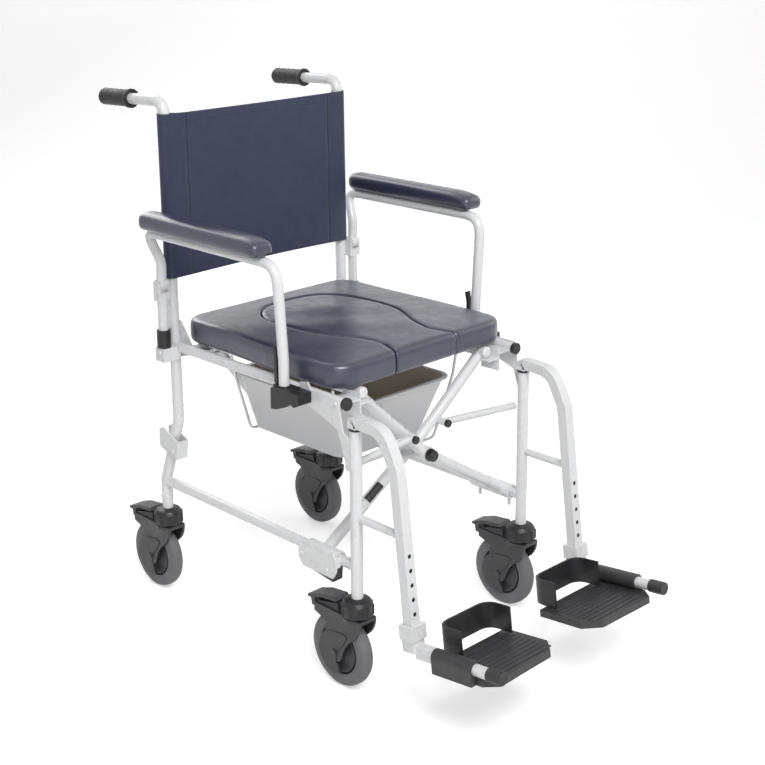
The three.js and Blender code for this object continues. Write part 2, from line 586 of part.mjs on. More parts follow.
// The whole outline, closed at frontY. grow widens it all round.
function apertureShape(grow, frontY) {
  const wider = ([x, y]) => new THREE.Vector2(x + grow * Math.sign(x),
    y + (grow * Math.max(0, y - APERTURE_Y)) / (APERTURE_BACK_Y - APERTURE_Y));
  const right = OPENING.map(wider);
  const left = OPENING.map(([x, y]) => wider([-x, y])).reverse();
  const shape = new THREE.Shape();
  shape.moveTo(-OPENING[0][0] - 9 - grow, frontY);
  shape.lineTo(OPENING[0][0] + 9 + grow, frontY);
  shape.splineThru([...right, wider([0, APERTURE_BACK_Y]), ...left]);
  return shape;
}

const seatShape = roundedRectangle(-SEAT_WIDTH / 2, SEAT_WIDTH / 2, SEAT_FRONT_Y, SEAT_FRONT_Y + SEAT_DEPTH, 42);
const SEAM = 0.6;
const pad = slab(seatShape, SEAT_BASE_Z, SEAT_THICKNESS, 9);
add('seat_pad', cut(pad, [slab(apertureShape(SEAM, SEAT_FRONT_Y - 2), SEAT_BASE_Z - 5, SEAT_THICKNESS + 10, 0, 2)]), NAVY);
const infillBlock = slab(apertureShape(0, SEAT_FRONT_Y - 2), SEAT_BASE_Z, SEAT_THICKNESS, 0, 2);
add('seat_infill', geometryOf(solid(infillBlock).intersect(solid(pad))), NAVY);

function panShell(grow, z0, z1) {
  // tapering rounded box between two rounded rectangles
  const taperX = 24;
  const taperFront = 38;
  const taperRear = 20;
  const at = (z) => {
    const t = (PAN_RIM_Z - z) / (PAN_RIM_Z - PAN_BASE_Z);
    return roundedRectangle(-PAN_WIDTH / 2 + taperX * t + grow, PAN_WIDTH / 2 - taperX * t - grow,
      PAN_FRONT_Y + taperFront * t + grow, PAN_FRONT_Y + PAN_LENGTH - taperRear * t - grow, 26 - grow);
  };
  const low = at(z0).getPoints(5).slice(0, -1);
  const high = at(z1).getPoints(5).slice(0, -1);
  return loft(low, z0, high, z1);
}

// A closed solid between two outlines with equal numbers of points.
function loft(low, z0, high, z1) {
  const geometry = new THREE.ExtrudeGeometry(new THREE.Shape(low), { depth: 1, bevelEnabled: false });
  const position = geometry.attributes.position;
  for (let i = 0; i < position.count; i += 1) {
    const top = position.getZ(i) > 0.5;
    let index = 0;
    let best = Infinity;
    low.forEach((point, k) => {
      const away = Math.hypot(point.x - position.getX(i), point.y - position.getY(i));
      if (away < best) [best, index] = [away, k];
    });
    const point = top ? high[index] : low[index];
    position.setXYZ(i, point.x, point.y, top ? z1 : z0);
  }
  return geometry;
}

const panRim = slab(roundedRectangle(-PAN_WIDTH / 2 - 7, PAN_WIDTH / 2 + 7, PAN_FRONT_Y - 6,
  PAN_FRONT_Y + PAN_LENGTH + 7, 32), PAN_RIM_Z - 3, 3);
const pan = cut(join([panShell(0, PAN_BASE_Z, PAN_RIM_Z - 1), panRim]),
  [panShell(PAN_WALL, PAN_BASE_Z + PAN_WALL, PAN_RIM_Z + 2)]);
add('pan', pan, PAN_WHITE);

// Wire cradle under the pan: a loop at the front and one at the rear, hung from the seat tubes.
for (const [name, y, lowX] of [['front', PAN_FRONT_Y + 8, 92], ['rear', PAN_FRONT_Y + PAN_LENGTH - 28, 110]]) {
  const topX = SEAT_TUBE_X;
  const topZ = SEAT_TUBE_Z - TUBE_RADIUS - CRADLE_WIRE - RUN;
  const lowZ = PAN_BASE_Z - CRADLE_WIRE - GAP;
  const wire = bentTube([[-topX, y, topZ], [-topX + 8, y, topZ - 40], [-lowX, y, lowZ], [lowX, y, lowZ], [topX - 8, y, topZ - 40], [topX, y, topZ]], CRADLE_WIRE, 14, 8, 3);
  add(`cradle_${name}`, wire, STEEL);
}

// Backrest: a sling with a pocket round each rear upright.
function backrest() {
  const sleeves = [];
  const bores = [];
  for (const side of [-1, 1]) {
    const x = side * FRAME_HALF_WIDTH;
    const at = (z) => [x, backY(z), z];
    sleeves.push(rod(at(BACK_LOW_Z), at(BACK_HIGH_Z), TUBE_RADIUS + SLING_THICKNESS, 18));
    bores.push(rod(at(BACK_LOW_Z - 20), at(BACK_HIGH_Z + 20), TUBE_RADIUS + GAP, 18));
  }
  const lowY = backY(BACK_LOW_Z) - TUBE_RADIUS - SLING_THICKNESS;
  const highY = backY(BACK_HIGH_Z) - TUBE_RADIUS - SLING_THICKNESS;
  const panel = sheetX([[lowY, BACK_LOW_Z], [lowY + SLING_THICKNESS, BACK_LOW_Z],
    [highY + SLING_THICKNESS, BACK_HIGH_Z], [highY, BACK_HIGH_Z]], -FRAME_HALF_WIDTH, FRAME_HALF_WIDTH);
  return cut(join([panel, ...sleeves]), bores);
}
add('backrest', backrest(), NAVY);

// ---- armrests -----------------------------------------------------------------------------------
for (const side of [-1, 1]) {
  const name = side < 0 ? 'left' : 'right';
  const topX = side * ARM_TOP_X;
  const footX = side * ARM_FOOT_X;
  const railZ = ARM_PAD_BASE_Z - GAP - RAIL_RADIUS;
  const tube = bentTube([
    [footX, ARM_FRONT_Y, SOCKET_TOP_Z + GAP], [footX, ARM_FRONT_Y, SOCKET_TOP_Z + 40],
    [topX, ARM_FRONT_Y, railZ], [topX, ARM_REAR_Y + 24, railZ],
    [footX, ARM_REAR_Y - 2, ARM_PIVOT_Z + 42], [footX, ARM_REAR_Y, ARM_PIVOT_Z],
  ], RAIL_RADIUS, 34, 12, 4);
  const knuckle = rod([footX - RAIL_RADIUS, ARM_REAR_Y, ARM_PIVOT_Z], [footX + RAIL_RADIUS, ARM_REAR_Y, ARM_PIVOT_Z],
    RAIL_RADIUS + 2.5, 16);
  add(`arm_frame_${name}`, join([tube, knuckle]), WHITE);
  const padX = side * (ARM_TOP_X + 7);
  const shape = roundedRectangle(padX - ARM_PAD_WIDTH / 2, padX + ARM_PAD_WIDTH / 2, ARM_FRONT_Y + ARM_PAD_SETBACK,
    ARM_FRONT_Y + ARM_PAD_SETBACK + ARM_PAD_LENGTH, 12);
  add(`arm_pad_${name}`, slab(shape, ARM_PAD_BASE_Z, ARM_PAD_HEIGHT, 8, 4), NAVY);
  const eyeY = SOCKET_REAR_Y - 4;
  const blade = sheetX([[eyeY - 3.5, LEVER_PIVOT_Z], [eyeY + 3.5, LEVER_PIVOT_Z], [eyeY + 3, 548], [eyeY + 7, 566],
    [eyeY + 1, 568], [eyeY - 2.5, 550]], footX - 4, footX + 4);
  const eye = rod([footX - 4, eyeY, LEVER_PIVOT_Z], [footX + 4, eyeY, LEVER_PIVOT_Z], 4, 12);
  add(`arm_lever_${name}`, join([blade, eye]), BLACK);
}

// ---- footrests ----------------------------------------------------------------------------------
// Local frame of a footrest's straight leg: Y runs backward square to the leg, Z up along it, and
// the origin is a point on the leg's axis.
function legGroup(side) {
  const group = new THREE.Group();
  group.position.set(side * FRAME_HALF_WIDTH, FOOT_ANCHOR[0], FOOT_ANCHOR[1]);
  group.rotation.x = -THREE.MathUtils.degToRad(HANGER_LEAN);
  chair.add(group);
  return group;
}

// A point of the local leg frame in the chair's y and z.
function legPoint(y, z) {
  const lean = -THREE.MathUtils.degToRad(HANGER_LEAN);
  return [FOOT_ANCHOR[0] + y * Math.cos(lean) - z * Math.sin(lean),
    FOOT_ANCHOR[1] + y * Math.sin(lean) + z * Math.cos(lean)];
}

const LEG_END = -FOOT_TUBE_DROP + 6;
const COLLAR_LOW = -FOOT_TUBE_DROP - 2;
const COLLAR_HIGH = COLLAR_LOW + 44;
const FOOT_TUBE_RADIUS = 9.5;
const HOUSING_BACK = -48;
const HOUSING_FRONT = -130;
const CAP_BACK = HOUSING_FRONT - 26;

function hanger(side) {
  const x = side * FRAME_HALF_WIDTH;
  const upper = legPoint(0, 160);
  const lower = legPoint(0, LEG_END);
  const path = new BentPath([[x, 0, FRONT_TOP_Z + 4 + GAP], [x, 0, 472], [x, -64, 470],
    [x, upper[0], upper[1]], [x, lower[0], lower[1]]], 40, 6);
  const tube = sweep(rectangle(HANGER_DEPTH, HANGER_WIDTH), path);
  const strutY = FOOT_ANCHOR[0] + (308 - FOOT_ANCHOR[1]) * Math.tan(THREE.MathUtils.degToRad(HANGER_LEAN));
  const strut = rod([x, -TUBE_RADIUS - 2 - GAP, 308], [x, strutY, 308], 6.5, 10);
  const holes = [];
  for (let i = 0; i < 6; i += 1) {
    const at = 24 - HOLE_PITCH * i;
    const front = legPoint(-20, at);
    const back = legPoint(20, at);
    holes.push(rod([x, front[0], front[1]], [x, back[0], back[1]], 3.8, 10));
  }
  return cut(join([tube, strut]), holes);
}

// Telescoping foot tube: a collar round the leg and a tube that runs forward to carry the footplate.
function legrest() {
  const collar = box(-13, 13, -12, 12, COLLAR_LOW, COLLAR_HIGH);
  const flange = box(-16, 16, -15, 14, COLLAR_HIGH - 24, COLLAR_HIGH);
  const neck = box(-9, 9, -44, -11, COLLAR_LOW - 8, COLLAR_LOW + 12);
  const tube = rod([0, -36, -FOOT_TUBE_DROP], [0, CAP_BACK, -FOOT_TUBE_DROP], FOOT_TUBE_RADIUS, 14);
  const boreX = HANGER_WIDTH / 2 + RUN;
  const boreY = HANGER_DEPTH / 2 + RUN;
  const bore = box(-boreX, boreX, -boreY, boreY, COLLAR_LOW - 12, COLLAR_HIGH + 5);
  return cut(join([collar, flange, neck, tube]), [bore]);
}

// Footplate: a hinge housing round the foot tube and a ribbed plate that reaches inward. Local +X is
// inward here.
function footplate(inward) {
  const axisZ = -FOOT_TUBE_DROP;
  const housing = rod([0, HOUSING_BACK, axisZ], [0, HOUSING_FRONT, axisZ], FOOT_TUBE_RADIUS + 4, 16);
  const apron = box(Math.min(-inward * 13, inward * 4), Math.max(-inward * 13, inward * 4), HOUSING_FRONT, HOUSING_BACK,
    axisZ - 24, axisZ - 2);
  const plateTop = axisZ - 12;
  const plateShape = new THREE.Shape();
  plateShape.moveTo(inward * -2, HOUSING_BACK);
  plateShape.lineTo(inward * -2, HOUSING_FRONT - 12);
  plateShape.lineTo(inward * 16, HOUSING_FRONT - 34);
  plateShape.lineTo(inward * 138, HOUSING_FRONT - 30);
  plateShape.lineTo(inward * 163, HOUSING_FRONT - 4);
  plateShape.lineTo(inward * 161, HOUSING_BACK);
  const plate = slab(plateShape, plateTop - 12, 12);
  const ribs = [];
  for (let i = 0; i < 9; i += 1) {
    const y = HOUSING_FRONT - 22 + 10.5 * i;
    ribs.push(box(Math.min(inward * 30, inward * 150), Math.max(inward * 30, inward * 150), y, y + 4,
      plateTop - 1, plateTop + 1.5));
  }
  const bore = rod([0, HOUSING_BACK + 5, axisZ], [0, HOUSING_FRONT - 50, axisZ], FOOT_TUBE_RADIUS + RUN, 14);
  return cut(join([housing, apron, plate, ...ribs]), [bore]);
}

// Heel loop: an upright strap that runs back from the housing, round behind the heel and forward again
// to the plate's inner side.
function heelLoop(inward) {
  const outerX = inward * 32;
  const innerX = inward * 148;
  const backY = HOUSING_BACK + 24;
  const endY = HOUSING_BACK - 26;
  const height = 44;
  const path = new BentPath([[outerX, endY, 0], [outerX, backY, 0], [innerX, backY, 0], [innerX, endY, 0]], 42, 8);
  const strap = sweep(rectangle(height, 3.5), path);
  return strap.translate(0, 0, -FOOT_TUBE_DROP - 9 + height / 2 + GAP);
}

for (const side of [-1, 1]) {
  const name = side < 0 ? 'left' : 'right';
  add(`hanger_${name}`, hanger(side), WHITE);
  const leg = legGroup(side);
  add(`legrest_${name}`, legrest(), WHITE, leg);
  add(`footplate_${name}`, footplate(-side), BLACK, leg);
  add(`heel_loop_${name}`, heelLoop(-side), BLACK, leg);
  const cap = rod([0, CAP_BACK - GAP, -FOOT_TUBE_DROP], [0, HOUSING_FRONT - 54, -FOOT_TUBE_DROP],
    FOOT_TUBE_RADIUS + 1.5, 16);
  add(`foot_tube_cap_${name}`, cap, BLACK, leg);
}

// The part's origin is the middle of its footprint on the floor.
const footprint = new THREE.Box3().setFromObject(chair);
chair.position.y = -(footprint.min.y + footprint.max.y) / 2;
const part = new THREE.Group();
part.add(chair);

export default part;
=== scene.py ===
import json
import math

import bmesh
import bpy
import numpy as np
from mathutils import Matrix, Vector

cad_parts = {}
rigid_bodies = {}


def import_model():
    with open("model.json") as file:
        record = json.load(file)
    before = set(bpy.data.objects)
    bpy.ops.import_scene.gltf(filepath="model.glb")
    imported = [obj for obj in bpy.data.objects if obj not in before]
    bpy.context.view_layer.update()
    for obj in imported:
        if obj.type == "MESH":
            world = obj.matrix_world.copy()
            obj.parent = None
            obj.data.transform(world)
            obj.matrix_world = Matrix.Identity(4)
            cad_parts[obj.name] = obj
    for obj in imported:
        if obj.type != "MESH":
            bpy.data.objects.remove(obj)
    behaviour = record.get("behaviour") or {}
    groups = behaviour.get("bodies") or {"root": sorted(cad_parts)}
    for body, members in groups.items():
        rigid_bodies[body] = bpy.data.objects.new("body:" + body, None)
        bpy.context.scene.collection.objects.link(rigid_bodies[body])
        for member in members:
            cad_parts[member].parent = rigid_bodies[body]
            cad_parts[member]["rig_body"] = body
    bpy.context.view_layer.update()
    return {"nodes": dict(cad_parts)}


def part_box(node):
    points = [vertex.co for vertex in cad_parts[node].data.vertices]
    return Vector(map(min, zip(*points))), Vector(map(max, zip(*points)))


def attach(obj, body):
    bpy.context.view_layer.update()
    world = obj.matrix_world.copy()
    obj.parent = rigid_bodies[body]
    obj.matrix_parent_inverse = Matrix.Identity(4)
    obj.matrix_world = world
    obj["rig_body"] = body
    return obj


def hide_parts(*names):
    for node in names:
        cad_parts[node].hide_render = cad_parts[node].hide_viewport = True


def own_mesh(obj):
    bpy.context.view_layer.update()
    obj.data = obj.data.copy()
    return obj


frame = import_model()
SIDES = (("left", -1), ("right", 1))
scene = bpy.context.scene


# ---- Viewpoint -----------------------------------------------------------------------------------
# The chair is seen from its front left and a little above, from about two and a half metres away,
# with a fairly long lens, so the near castors look only slightly larger than the far ones.
SHIFT_Y = -0.17004
lens = bpy.data.cameras.new("viewpoint")
lens.sensor_width = 36
lens.lens = 68.24
lens.clip_end = 60
lens.shift_x = 0.0465
lens.shift_y = -0.15
viewpoint = bpy.data.objects.new("viewpoint", lens)
yaw, pitch, roll = (math.radians(a) for a in (43.267, 14.306, -0.698))
viewpoint.matrix_world = (
    Matrix.Translation((-1.6846, -1.5568 + SHIFT_Y, 1.2677))
    @ Matrix.Rotation(-yaw, 4, "Z")
    @ Matrix.Rotation(math.pi / 2 - pitch, 4, "X")
    @ Matrix.Rotation(roll, 4, "Z")
)
scene.collection.objects.link(viewpoint)
scene.camera = viewpoint


# ---- Side frames ---------------------------------------------------------------------------------
# Two welded frames of bent steel tube with sheet saddles and clips, sprayed with a white powder
# coat. The push handles, the armrest posts and the lower and upper rails are all part of them.
class Wire:
    """One output socket of a material's nodes. The operators add Math nodes, or work in Python."""

    def __init__(self, finish, socket):
        self.finish = finish
        self.socket = socket

    def _math(self, operation, *values, **settings):
        return self.finish.add("ShaderNodeMath", dict(operation=operation, **settings), *values)

    def __add__(self, other):
        return self._math("ADD", self, other)

    __radd__ = __add__

    def __sub__(self, other):
        return self._math("SUBTRACT", self, other)

    def __rsub__(self, other):
        return self._math("SUBTRACT", other, self)

    def __mul__(self, other):
        return self._math("MULTIPLY", self, other)

    __rmul__ = __mul__

    def wave(self):
        """The sine of the value."""
        return self._math("SINE", self)

    def size(self):
        """The value without its sign."""
        return self._math("ABSOLUTE", self)

    def ramp(self, low, high, to_low=0.0, to_high=1.0):
        """A smooth step from to_low at low to to_high at high."""
        return self.finish.add("ShaderNodeMapRange", dict(interpolation_type="SMOOTHSTEP"),
                               self, low, high, to_low, to_high)


class Finish:
    """A procedural material under construction: a Principled shader and the nodes that feed it."""

    def __init__(self, name, **sockets):
        self.material = bpy.data.materials.new(name)
        self.material.use_nodes = True
        self.nodes = self.material.node_tree.nodes
        self.shader = self.nodes["Principled BSDF"]
        for socket, value in sockets.items():
            self.put(self.shader.inputs[socket.replace("_", " ").title().replace("Ior", "IOR")], value)

    def put(self, socket, value):
        """Links a wire to a socket, or sets the socket's own value."""
        if isinstance(value, Wire):
            self.material.node_tree.links.new(value.socket, socket)
        elif isinstance(value, tuple) and len(value) == 3 and socket.type == "RGBA":
            socket.default_value = (*value, 1.0)
        else:
            socket.default_value = value

    def add(self, kind, settings, *values, out=0, **named):
        """A node of the given type: its settings first, then its sockets by place or by name."""
        node = self.nodes.new(kind)
        for key, value in settings.items():
            setattr(node, key, value)
        for place, value in enumerate(values):
            if value is not None:
                self.put(node.inputs[place], value)
        for socket, value in named.items():
            self.put(node.inputs[socket], value)
        return Wire(self, node.outputs[out])

    def place(self, axis=None):
        """Object coordinates, or one of them: x, y or z."""
        point = self.add("ShaderNodeTexCoord", {}, out="Object")
        if axis is None:
            return point
        return self.add("ShaderNodeSeparateXYZ", {}, point, out="xyz".index(axis))

    def noise(self, scale, detail=2.0, rough=0.5, at=None):
        """Cloudy noise from 0 to 1, with features of about 1/scale metres."""
        return self.add("ShaderNodeTexNoise", {}, at or self.place(), Scale=scale, Detail=detail, Roughness=rough)

    def cells(self, scale, feature="F1", at=None):
        """Distance to the nearest of scattered points, as in pebbled leather."""
        return self.add("ShaderNodeTexVoronoi", dict(feature=feature), at or self.place(), Scale=scale)

    def mix(self, share, first, second):
        """A colour between two, by share."""
        node = self.nodes.new("ShaderNodeMix")
        node.data_type = "RGBA"
        self.put(node.inputs[0], share)
        self.put(node.inputs[6], first)
        self.put(node.inputs[7], second)
        return Wire(self, node.outputs[2])

    def relief(self, height, depth, strength=1.0):
        """Feeds the shader's normal from a height that spans depth metres from 0 to 1."""
        bump = self.add("ShaderNodeBump", {}, Strength=strength, Distance=depth, Height=height)
        self.put(self.shader.inputs["Normal"], bump)


def powder_coat():
    """White powder coat: fine orange peel, faint warm and cool patches, a little duller in places."""
    coat = Finish("white_powder_coat", specular_ior_level=0.5, coat_weight=0.12, coat_roughness=0.22)
    patches = coat.noise(9, 3)
    coat.put(coat.shader.inputs["Base Color"], coat.mix(patches, (0.735, 0.74, 0.75), (0.765, 0.768, 0.775)))
    coat.put(coat.shader.inputs["Roughness"], coat.noise(40, 3).ramp(0.3, 0.7, 0.24, 0.36))
    coat.relief(coat.noise(620, 2), 0.00018, 0.35)
    return coat.material


def smoothed(node, material, crease=38, ease=0.0):
    """A finished copy of a frame node: doubles merged, flat facets joined, curved faces shaded smooth
    up to the crease angle, and edges eased by a bevel of ease metres."""
    mesh = bpy.data.meshes.new(node + "_skin")
    work = bmesh.new()
    work.from_mesh(frame["nodes"][node].data)
    bmesh.ops.remove_doubles(work, verts=work.verts, dist=2e-6)
    bmesh.ops.dissolve_limit(work, angle_limit=math.radians(0.8), verts=work.verts, edges=work.edges)
    work.to_mesh(mesh)
    work.free()
    mesh.materials.clear()
    mesh.materials.append(material)
    mesh.shade_smooth()
    mesh.set_sharp_from_angle(angle=math.radians(crease))
    piece = bpy.data.objects.new(node + "_skin", mesh)
    scene.collection.objects.link(piece)
    if ease:
        bevel = piece.modifiers.new("ease", "BEVEL")
        bevel.width = ease
        bevel.segments = 2
        bevel.limit_method = "ANGLE"
        bevel.angle_limit = math.radians(crease)
    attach(piece, frame["nodes"][node]["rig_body"])
    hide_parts(node)
    return piece


HALF_WIDTH = 0.205          # middle plane to the uprights' axes
white = powder_coat()
for side, _ in SIDES:
    smoothed("frame_" + side, white, ease=0.0005)


def moulded(name, colour, rough, grain, depth):
    """Moulded plastic or rubber: fine grain of 1/grain metres, slight colour drift and dull patches."""
    skin = Finish(name, specular_ior_level=0.45)
    drift = skin.noise(35, 3)
    skin.put(skin.shader.inputs["Base Color"],
             skin.mix(drift, tuple(c * 0.8 for c in colour), tuple(c * 1.2 for c in colour)))
    skin.put(skin.shader.inputs["Roughness"], skin.noise(90, 3).ramp(0.3, 0.7, rough - 0.06, rough + 0.08))
    skin.relief(skin.noise(grain, 2), depth, 0.6)
    return skin.material


# ---- Grips, caps and sockets ---------------------------------------------------------------------
# Black rubber hand grips with finger grooves on the push handles, and black moulded caps, rings,
# sockets and levers at the ends and joints of the tubes.
rubber = moulded("grip_rubber", (0.024, 0.024, 0.025), 0.55, 1400, 0.00012)
black = moulded("black_plastic", (0.011, 0.011, 0.0125), 0.38, 1100, 0.00008)
for side, _ in SIDES:
    smoothed("grip_" + side, rubber, crease=50)
    for part in ("rail_cap_", "pivot_ring_", "arm_socket_", "arm_sleeve_", "arm_lever_", "link_cap_"):
        smoothed(part + side, black, ease=0.0006)
smoothed("bearing_block", black, ease=0.001)
smoothed("pivot_knob", black, ease=0.0005)


# ---- Castors -------------------------------------------------------------------------------------
# Each castor has a ribbed black head on the tube, a dark grey fork with a curved cover on each side,
# a brake pedal with a ribbed tip, and a wheel with a grey rubber tyre on a dark grey hub.
def closed_tube(rings):
    """Quads that join each ring of points to the next, round each ring, and the last to the first."""
    count, around = rings
    index = np.arange(count * around).reshape(count, around)
    right = np.roll(index, -1, 1)
    below = np.roll(index, -1, 0)
    return np.stack([index, right, np.roll(right, -1, 0), below], -1).reshape(-1, 4)


def turned(profile, centre, turns=64):
    """A ring turned about the X axis: each (radius, x) of a closed profile swept through a full circle."""
    radius, along = np.asarray(profile, float).T
    angle = np.linspace(0, 2 * math.pi, turns, endpoint=False)
    points = np.stack([
        np.broadcast_to(along[:, None], (len(radius), turns)),
        radius[:, None] * np.cos(angle),
        radius[:, None] * np.sin(angle),
    ], -1) + np.asarray(centre, float)
    return points.reshape(-1, 3), closed_tube((len(radius), turns))


def outward(mesh):
    """Turns every face of a closed mesh outward."""
    work = bmesh.new()
    work.from_mesh(mesh)
    bmesh.ops.remove_doubles(work, verts=work.verts, dist=1e-6)
    bmesh.ops.recalc_face_normals(work, faces=work.faces)
    work.to_mesh(mesh)
    work.free()


def make(name, points, quads, material, body, crease=35):
    """A closed piece from points and faces, shaded smooth up to the crease angle, riding on body."""
    mesh = bpy.data.meshes.new(name)
    mesh.from_pydata(np.asarray(points).tolist(), [], [list(map(int, q)) for q in quads])
    outward(mesh)
    mesh.materials.append(material)
    mesh.shade_smooth()
    mesh.set_sharp_from_angle(angle=math.radians(crease))
    piece = bpy.data.objects.new(name, mesh)
    scene.collection.objects.link(piece)
    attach(piece, body)
    return piece


def plate(outline, x0, x1, edge=0.0008):
    """A plate square to X with an eased edge: the (y, z) outline at four depths, and flat faces."""
    outline = np.asarray(outline, float)
    middle = outline.mean(0)
    away = outline - middle
    shrink = 1 - edge / np.linalg.norm(away, axis=1, keepdims=True)
    inner = middle + away * shrink
    lift = edge if x1 > x0 else -edge
    layers = [(inner, x0), (outline, x0 + lift), (outline, x1 - lift), (inner, x1)]
    count = len(outline)
    points = np.concatenate([np.column_stack([np.full(count, x), o]) for o, x in layers])
    index = np.arange(4 * count).reshape(4, count)
    sides = np.stack([index[:-1], np.roll(index[:-1], -1, 1), np.roll(index[1:], -1, 1), index[1:]], -1)
    return points, sides.reshape(-1, 4).tolist() + [index[0].tolist(), index[3].tolist()]


tyre_skin = moulded("grey_tyre", (0.15, 0.15, 0.157), 0.62, 500, 0.0003)
hub_skin = moulded("dark_hub", (0.035, 0.035, 0.039), 0.42, 900, 0.0001)
fork_skin = moulded("fork_plastic", (0.03, 0.03, 0.033), 0.40, 800, 0.0001)
knurl_skin = moulded("head_plastic", (0.014, 0.014, 0.016), 0.42, 800, 0.0001)

pedal = Finish("pedal_plastic", base_color=(0.042, 0.042, 0.046), specular_ior_level=0.45)
pedal.put(pedal.shader.inputs["Roughness"], pedal.noise(120, 3).ramp(0.3, 0.7, 0.36, 0.5))
ribs = (pedal.place("y") * (2 * math.pi / 0.0042)).wave().ramp(-0.4, 0.4)
pedal.relief(ribs, 0.0006, 0.7)

WHEEL_RADIUS = 0.064
TYRE_HALF = 0.0125          # half of the tyre's width
DISC_RADIUS = 0.037         # round cover over the axle
COVER_X = (0.0142, 0.0205)  # inner and outer face of the cover, from the wheel's middle
tyre_profile = [(0.0425, -0.0105), (0.046, -0.0122), (0.052, -TYRE_HALF), (0.0575, -0.0121), (0.0615, -0.0098),
                (0.0634, -0.006), (WHEEL_RADIUS, 0.0), (0.0634, 0.006), (0.0615, 0.0098), (0.0575, 0.0121),
                (0.052, TYRE_HALF), (0.046, 0.0122), (0.0425, 0.0105)]
hub_profile = [(0.0004, -0.0098), (0.012, -0.0098), (0.0135, -0.0088), (0.033, -0.0088), (0.036, -0.0098),
               (0.0385, -0.0098), (0.040, -0.0055), (0.0424, -0.005), (0.0424, 0.005), (0.040, 0.0055),
               (0.0385, 0.0098), (0.036, 0.0098), (0.033, 0.0088), (0.0135, 0.0088), (0.012, 0.0098),
               (0.0004, 0.0098)]


def fork_disc(x, y, z):
    """Outline of the round cover over the axle, in y and z: a circle of 37 mm on the rear side, closed
    by an S-shaped edge on the front side that runs up into the fork's arm."""
    angle = np.radians(np.linspace(-112, 86, 34))
    back = np.column_stack([y + DISC_RADIUS * np.cos(angle), z + DISC_RADIUS * np.sin(angle)])
    edge = np.array([(-0.020, 0.040), (-0.0305, 0.036), (-0.021, 0.018), (-0.006, 0.004), (-0.004, -0.014)])
    return np.concatenate([back, edge + (y, z)])


for place in ("front_left", "front_right", "rear_left", "rear_right"):
    low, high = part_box("castor_wheel_" + place)
    centre = [(a + b) / 2 for a, b in zip(low, high)]
    tyre = make("tyre_" + place, *turned(tyre_profile, centre), tyre_skin, "wheel_" + place)
    hub = make("hub_" + place, *turned(hub_profile, centre), hub_skin, "wheel_" + place)
    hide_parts("castor_wheel_" + place)
    smoothed("castor_head_" + place, knurl_skin, crease=30, ease=0.0006)
    smoothed("castor_fork_" + place, fork_skin, ease=0.0012)
    smoothed("castor_pedal_" + place, pedal.material, ease=0.0008)
    for face, way in (("inner", -1), ("outer", 1)):
        reach = [centre[0] + way * x for x in COVER_X]
        cover = make(f"axle_cover_{face}_{place}", *plate(fork_disc(*centre), *reach), fork_skin,
                     "castor_" + place)
        cap = make(f"axle_cap_{face}_{place}", *turned(
            [(0.0003, way * COVER_X[1]), (0.0055, way * COVER_X[1]), (0.0055, way * 0.022), (0.0045, way * 0.0226),
             (0.0003, way * 0.0226)], centre, 24), fork_skin, "castor_" + place)


# ---- Folding braces and links --------------------------------------------------------------------
# Two white steel tube braces cross at a pivot under the seat and end in the seat tubes; thin links
# tie them to the front uprights. One brace carries a plain black wrap-round label patch.
for name in ("brace_a", "brace_b", "link_left", "link_right", "seat_tube_cap_a", "seat_tube_cap_b"):
    smoothed(name, white, ease=0.0005)


def wrapped_patch(start, end, facing, radius, spread, thick):
    """A thin patch bent round a tube: rows along the axis from start to end, and an arc of spread
    radians about the facing direction at two radii, closed at its edges."""
    start, end, facing = (np.asarray(v, float) for v in (start, end, facing))
    axis = (end - start) / np.linalg.norm(end - start)
    facing = facing - axis * facing.dot(axis)
    facing /= np.linalg.norm(facing)
    cross = np.cross(axis, facing)
    arc = np.linspace(-spread / 2, spread / 2, 14)
    loop = np.concatenate([arc, arc[::-1]])
    reach = np.concatenate([np.full(14, radius), np.full(14, radius + thick)])
    ring = reach[:, None] * (np.cos(loop)[:, None] * facing + np.sin(loop)[:, None] * cross)
    rows = np.linspace(0, 1, 6)[:, None, None]
    points = (start + rows * (end - start) + ring).reshape(-1, 3)
    index = np.arange(6 * 28).reshape(6, 28)
    right = np.roll(index, -1, 1)
    quads = np.stack([index[:-1], right[:-1], right[1:], index[1:]], -1).reshape(-1, 4).tolist()
    return points, quads + [index[0].tolist(), index[-1].tolist()]


label = moulded("label_vinyl", (0.02, 0.02, 0.021), 0.5, 600, 0.00006)
LABEL_RADIUS, LABEL_SPREAD, LABEL_THICK = 0.0101, 1.4, 0.0003
foot, pivot = np.array((-HALF_WIDTH, -0.0921, 0.222)), np.array((0.0, -0.0921, 0.348))
label_ends = [foot + share * (pivot - foot) for share in (0.47, 0.63)]
patch = make("label_patch", *wrapped_patch(*label_ends, (-0.63, -0.67, 0.4), LABEL_RADIUS, LABEL_SPREAD,
                                           LABEL_THICK), label, "brace_a")


# ---- Footrests -----------------------------------------------------------------------------------
# Swing-away hangers of white rectangular tube with a row of height holes; each carries a foot tube,
# a ribbed dark grey footplate that folds up, a heel loop and a black end cap.
for side, _ in SIDES:
    smoothed("hanger_" + side, white, ease=0.0007)
    smoothed("legrest_" + side, white, ease=0.0007)
LEAN = math.radians(7)
ANCHOR = np.array((-0.112 + SHIFT_Y, 0.255))
HOLES = 6
HOLE_TOP, HOLE_PITCH = 0.024, 0.0237
HOLE_RADIUS, HOLE_DEPTH = 0.00355, 0.0085
# Painted shade: near-black plugs fill the height holes through each hanger and stand for the shade inside the
# hollow tube.
dark = moulded("painted_hole_shade", (0.006, 0.006, 0.006), 0.8, 300, 0.00005)


def leg_point(y, z):
    """A point of a footrest's straight leg, y behind its axis and z up along it, in the chair's y and z."""
    return ANCHOR + (y * math.cos(LEAN) + z * math.sin(LEAN), -y * math.sin(LEAN) + z * math.cos(LEAN))
